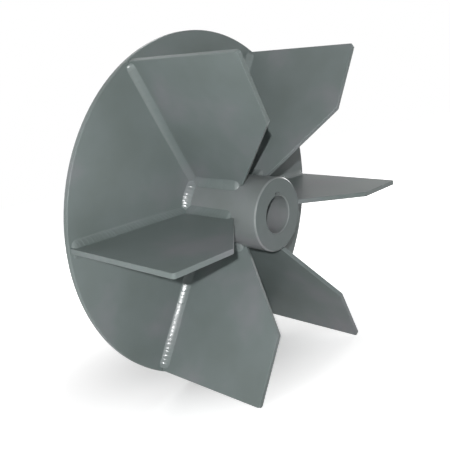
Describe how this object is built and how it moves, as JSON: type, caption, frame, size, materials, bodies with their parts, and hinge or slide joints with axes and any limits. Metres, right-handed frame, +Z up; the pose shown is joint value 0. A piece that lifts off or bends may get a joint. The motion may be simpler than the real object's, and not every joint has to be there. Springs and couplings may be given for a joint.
{
  "type": "blower wheel",
  "caption": "Welded radial blower wheel: flat blades on a round back plate, with a bored hub, keyway and set screws; all painted grey.",
  "frame": {"origin": "middle of the standing wheel's footprint box, on the floor it rests on", "axes": "+Z up and +X to the right when the nose of the hub is seen; the bore axis lies in the YZ plane, with the nose towards -Y and dipping 10.9 degrees, as the wheel rests on its rim and the corners of its two lower blades"},
  "size_m": [0.311, 0.166, 0.306],
  "materials": {
    "grey_paint": "semi-gloss",
    "screw_steel": "black oxide"
  },
  "bodies": {
    "root": {"back_plate": "grey_paint", "hub": "grey_paint", "blade_1": "grey_paint", "blade_2": "grey_paint", "blade_3": "grey_paint", "blade_4": "grey_paint", "blade_5": "grey_paint", "blade_6": "grey_paint", "plate_weld_1": "grey_paint", "plate_weld_2": "grey_paint", "plate_weld_3": "grey_paint", "plate_weld_4": "grey_paint", "plate_weld_5": "grey_paint", "plate_weld_6": "grey_paint", "hub_weld_1": "grey_paint", "hub_weld_2": "grey_paint", "hub_weld_3": "grey_paint", "hub_weld_4": "grey_paint", "hub_weld_5": "grey_paint", "hub_weld_6": "grey_paint", "back_weld": "grey_paint", "set_screws": "screw_steel"}
  },
  "joints": []
}
